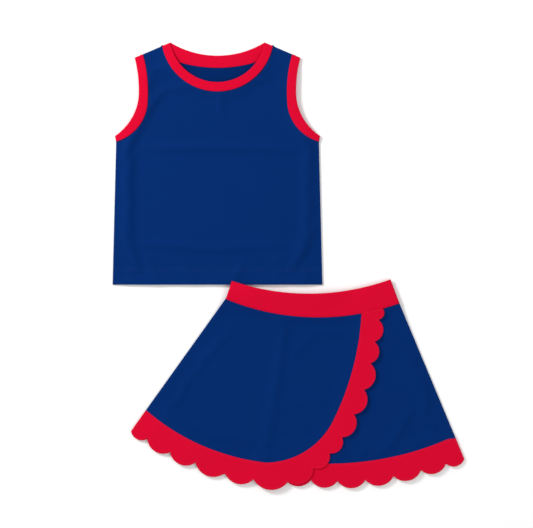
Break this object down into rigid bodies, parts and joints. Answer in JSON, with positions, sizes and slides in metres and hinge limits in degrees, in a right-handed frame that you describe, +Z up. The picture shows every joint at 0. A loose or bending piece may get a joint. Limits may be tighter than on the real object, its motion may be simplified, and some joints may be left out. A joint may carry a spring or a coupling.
{
  "type": "cheer uniform",
  "caption": "Two-piece cheer uniform laid flat: sleeveless crew-neck top with bound edges, and an A-line wrap-front skirt with a scalloped border.",
  "frame": {"origin": "middle of the flat layout, on the surface it lies on", "axes": "+Z up out of the fronts of the garments, +Y towards the shoulders of the top, +X to the right as seen from above"},
  "size_m": [0.4982, 0.6332, 0.0212],
  "materials": {
    "navy_jersey": "smooth matte navy double-knit jersey",
    "navy_seam": "overlocked seam allowance in navy jersey",
    "red_rib": "matte red rib binding",
    "red_jersey": "smooth matte red double-knit jersey",
    "red_facing": "red facing behind the scallops",
    "white_elastic": "woven white waist elastic",
    "white_interfacing": "white non-woven interfacing"
  },
  "bodies": {
    "top": {"back_neck_tape": "red_rib", "left_armhole_band": "red_rib", "left_shoulder_tape": "navy_seam", "left_side_seam": "navy_seam", "neckband": "red_rib", "right_armhole_band": "red_rib", "right_shoulder_tape": "navy_seam", "right_side_seam": "navy_seam", "top_back_panel": "navy_jersey", "top_front_panel": "navy_jersey"},
    "skirt": {"back_border": "red_jersey", "back_facing": "red_facing", "back_waistband": "red_jersey", "front_waistband": "red_jersey", "overlap_border_sewn": "red_jersey", "overlap_facing_sewn": "red_facing", "overlap_panel_sewn": "navy_jersey", "skirt_back_panel": "navy_jersey", "skirt_left_seam": "navy_seam", "skirt_right_seam": "navy_seam", "underlap_border": "red_jersey", "underlap_facing": "red_facing", "underlap_panel": "navy_jersey", "waist_elastic": "white_elastic", "waistband_interfacing": "white_interfacing"},
    "wrap_flap": {"overlap_border_flap": "red_jersey", "overlap_facing_flap": "red_facing", "overlap_panel_flap": "navy_jersey"}
  },
  "joints": [
    {"name": "skirt_lift", "type": "slide", "parent": "top", "child": "skirt", "axis": [0, 0, 1], "range_m": [0, 0.15]},
    {"name": "wrap_fold", "type": "hinge", "parent": "skirt", "child": "wrap_flap", "pos_m": [0.0985, -0.10485, 0.01895], "axis": [-0.7071, -0.7067, -0.0228], "range_deg": [0, 160]}
  ]
}
